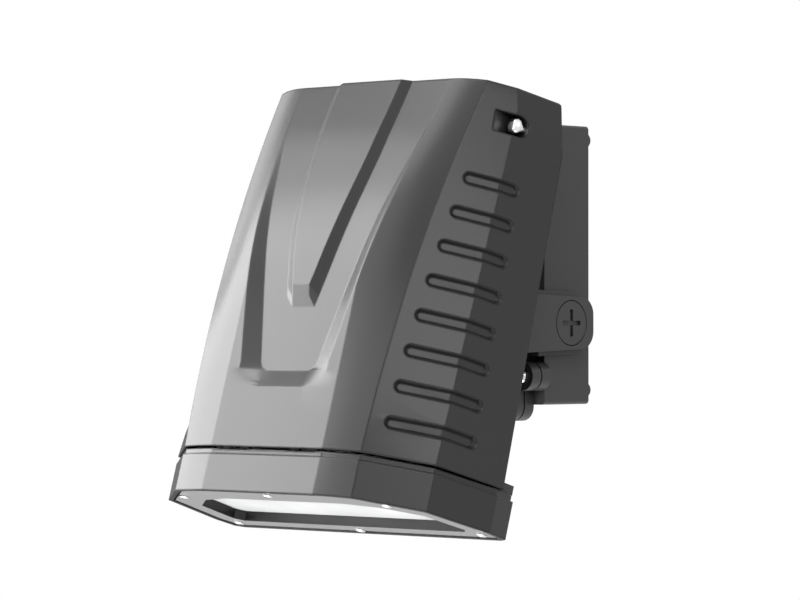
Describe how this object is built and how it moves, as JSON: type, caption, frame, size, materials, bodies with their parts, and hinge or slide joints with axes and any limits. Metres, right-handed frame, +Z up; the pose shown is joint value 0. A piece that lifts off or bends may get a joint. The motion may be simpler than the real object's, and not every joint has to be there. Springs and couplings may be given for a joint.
{
  "type": "adjustable wall pack light",
  "caption": "Outdoor wall light: a tilting cast head with a hinged sculpted hood and a downward lens, held by a yoke on a wall wiring box.",
  "frame": {"origin": "middle of the wiring box on the wall plane", "axes": "+Y into the wall, -Y out of the wall, +Z up, +X to the right when facing the wall"},
  "size_m": [0.242, 0.2252, 0.2858],
  "materials": {
    "casting": "satin powder coat, mid grey",
    "dark_casting": "satin powder coat, mid grey",
    "frame_metal": "satin light grey coat",
    "stainless": "stainless",
    "bare_aluminium": "extruded, bare",
    "seal_rubber": "matt black",
    "gland_plastic": "matt black nylon",
    "terminal_plastic": "matt cream",
    "ground_green": "green passivated",
    "board_white": "white solder mask",
    "chip_yellow": "phosphor over a light chip",
    "reflector_white": "gloss white",
    "lens_glass": "clear tempered glass, lightly frosted"
  },
  "bodies": {
    "wall_box": {"back_box": "dark_casting", "wall_gasket": "seal_rubber", "cover_gasket": "seal_rubber", "box_cover": "dark_casting", "cover_screws": "stainless", "conduit_plugs": "dark_casting", "wire_grommet": "seal_rubber", "terminal_block": "terminal_plastic", "ground_screw": "ground_green", "box_gland": "gland_plastic", "pivot_screws": "dark_casting"},
    "head": {"friction_washers": "stainless", "yoke": "dark_casting", "yoke_screws": "stainless", "rear_housing": "dark_casting", "head_gland": "gland_plastic", "bottom_band": "casting", "band_screws": "stainless", "deck_seal": "seal_rubber", "heat_sink": "bare_aluminium", "led_board": "board_white", "led_chips": "chip_yellow", "reflector": "reflector_white", "glass_lens": "lens_glass", "lens_gasket": "seal_rubber", "lens_frame": "frame_metal", "lens_screws": "stainless", "driver": "bare_aluminium", "driver_bracket": "stainless", "driver_screws": "stainless", "hood_gasket": "seal_rubber", "band_hinges": "stainless", "hinge_pins": "stainless"},
    "hood": {"hood": "casting", "captive_screws": "stainless", "screw_retainers": "stainless", "hood_hinges": "stainless"}
  },
  "joints": [
    {"name": "head_tilt", "type": "hinge", "parent": "wall_box", "child": "head", "pos_m": [0, -0.0322, -0.0372], "axis": [1, 0, 0], "range_deg": [-1.5, 16.6]},
    {"name": "hood_door", "type": "hinge", "parent": "head", "child": "hood", "pos_m": [0, -0.21474, -0.11677], "axis": [1, 0, 0], "range_deg": [0, 65]}
  ]
}
